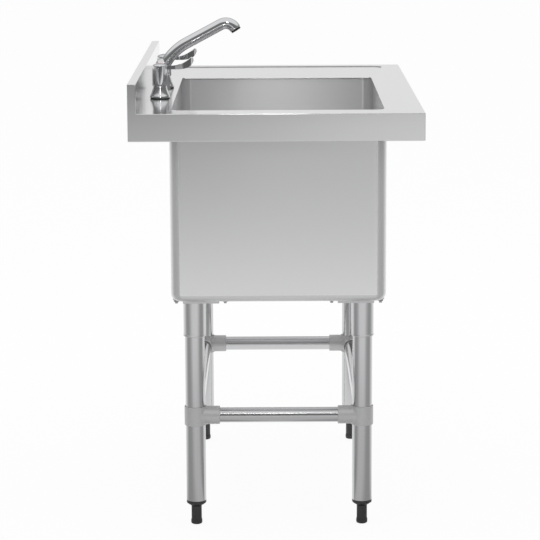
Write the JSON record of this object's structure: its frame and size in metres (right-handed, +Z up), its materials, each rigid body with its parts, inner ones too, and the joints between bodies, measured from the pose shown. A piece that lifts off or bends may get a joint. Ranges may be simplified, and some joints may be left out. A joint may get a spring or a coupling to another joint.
{
  "type": "utility laundry sink",
  "caption": "Free-standing steel sink: deep bowl, pressed drainer, rear upstand and lever mixer tap with swivel spout, on braced tubular legs with screw feet.",
  "frame": {"origin": "centre of the sink's width and depth, on the floor", "axes": "+X to the right along the sink towards the drainer, +Y from the user towards the wall, +Z up"},
  "size_m": [1, 0.6, 1.0631],
  "materials": {
    "brushed_top": "fine brushed along each strip",
    "brushed_bowl": "satin pressed sheet",
    "folded_steel": "satin folded sheet",
    "tube_steel": "bright drawn tube",
    "cast_aluminium": "matte cast",
    "black_plastic": "matte moulded",
    "fixing_steel": "plated",
    "black_rubber": "matte",
    "brass": "machined",
    "chrome": "polished plating",
    "black_outlet": "matte moulded",
    "red_index": "gloss",
    "blue_index": "gloss"
  },
  "bodies": {
    "sink": {"bowl": "brushed_bowl", "brace_front": "tube_steel", "brace_left": "tube_steel", "brace_rear": "tube_steel", "brace_right": "tube_steel", "cold_backnut": "brass", "cold_gasket": "black_rubber", "cold_tail": "brass", "cold_valve": "brass", "cold_washer": "fixing_steel", "corner_fitting_left_front": "cast_aluminium", "corner_fitting_left_rear": "cast_aluminium", "corner_fitting_right_front": "cast_aluminium", "corner_fitting_right_rear": "cast_aluminium", "drainer_channel": "folded_steel", "foot_insert_left_front": "black_plastic", "foot_insert_left_rear": "black_plastic", "foot_insert_right_front": "black_plastic", "foot_insert_right_rear": "black_plastic", "grub_screws": "fixing_steel", "hot_backnut": "brass", "hot_gasket": "black_rubber", "hot_tail": "brass", "hot_valve": "brass", "hot_washer": "fixing_steel", "left_bracket_nuts": "fixing_steel", "leg_bracket_left_front": "folded_steel", "leg_bracket_left_rear": "folded_steel", "leg_bracket_right_front": "folded_steel", "leg_bracket_right_rear": "folded_steel", "leg_left_front": "tube_steel", "leg_left_rear": "tube_steel", "leg_right_front": "tube_steel", "leg_right_rear": "tube_steel", "leg_sleeve_left_front": "tube_steel", "leg_sleeve_left_rear": "tube_steel", "leg_sleeve_right_front": "tube_steel", "leg_sleeve_right_rear": "tube_steel", "right_bracket_nuts": "fixing_steel", "sink_top": "brushed_top", "spout_nut": "chrome", "tap_body": "chrome"},
    "spout": {"spout": "chrome", "spout_oring": "black_rubber", "aerator_ring": "black_outlet", "aerator_insert": "black_outlet"},
    "hot_lever": {"hot_handle": "chrome", "hot_index": "red_index", "hot_spindle": "brass"},
    "cold_lever": {"cold_handle": "chrome", "cold_index": "blue_index", "cold_spindle": "brass"},
    "foot_left_front": {"foot_left_front": "black_plastic"},
    "foot_left_rear": {"foot_left_rear": "black_plastic"},
    "foot_right_front": {"foot_right_front": "black_plastic"},
    "foot_right_rear": {"foot_right_rear": "black_plastic"}
  },
  "joints": [
    {"name": "spout_swivel", "type": "hinge", "parent": "sink", "child": "spout", "pos_m": [-0.109, 0.247, 0.93], "axis": [0, 0, 1], "range_deg": [-110, 110]},
    {"name": "hot_turn", "type": "hinge", "parent": "sink", "child": "hot_lever", "pos_m": [-0.214, 0.247, 0.94], "axis": [0, 0, -1], "range_deg": [0, 90]},
    {"name": "cold_turn", "type": "hinge", "parent": "sink", "child": "cold_lever", "pos_m": [-0.004, 0.247, 0.94], "axis": [0, 0, 1], "range_deg": [0, 90]},
    {"name": "foot_left_front_screw", "type": "slide", "parent": "sink", "child": "foot_left_front", "axis": [0, 0, -1], "range_m": [0, 0.025]},
    {"name": "foot_left_rear_screw", "type": "slide", "parent": "sink", "child": "foot_left_rear", "axis": [0, 0, -1], "range_m": [0, 0.025]},
    {"name": "foot_right_front_screw", "type": "slide", "parent": "sink", "child": "foot_right_front", "axis": [0, 0, -1], "range_m": [0, 0.025]},
    {"name": "foot_right_rear_screw", "type": "slide", "parent": "sink", "child": "foot_right_rear", "axis": [0, 0, -1], "range_m": [0, 0.025]}
  ]
}
